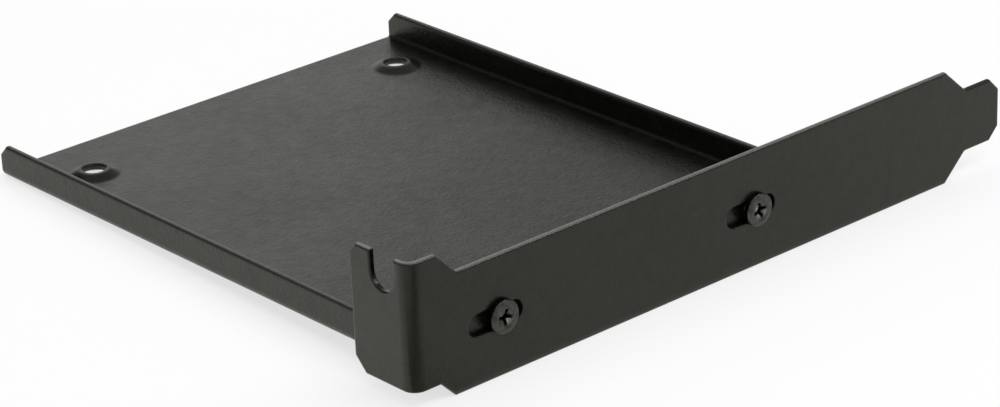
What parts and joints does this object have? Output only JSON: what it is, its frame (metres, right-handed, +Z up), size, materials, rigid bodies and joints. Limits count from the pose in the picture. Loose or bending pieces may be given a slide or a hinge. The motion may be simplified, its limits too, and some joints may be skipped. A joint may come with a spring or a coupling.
{
  "type": "drive mounting frame",
  "caption": "Folded steel tray for a small drive, screwed to an expansion-slot bracket with a bent tab and a tongue so the drive can be fixed in a spare slot.",
  "frame": {"origin": "middle of the four drive screw holes, on the plane of the boss tops that the drive sits on", "axes": "+X along the bracket from its tab to its tongue, +Y back over the tray away from the bracket, +Z up out of the tray"},
  "size_m": [0.12, 0.1056, 0.022],
  "materials": {
    "tray_coat": "satin black powder coat on folded steel sheet",
    "bracket_coat": "satin black powder coat on folded steel sheet",
    "screw_steel": "black-plated steel with a bright cross recess"
  },
  "bodies": {
    "root": {"drive_tray": "tray_coat", "slot_bracket": "bracket_coat", "bracket_screws": "screw_steel"}
  },
  "joints": []
}
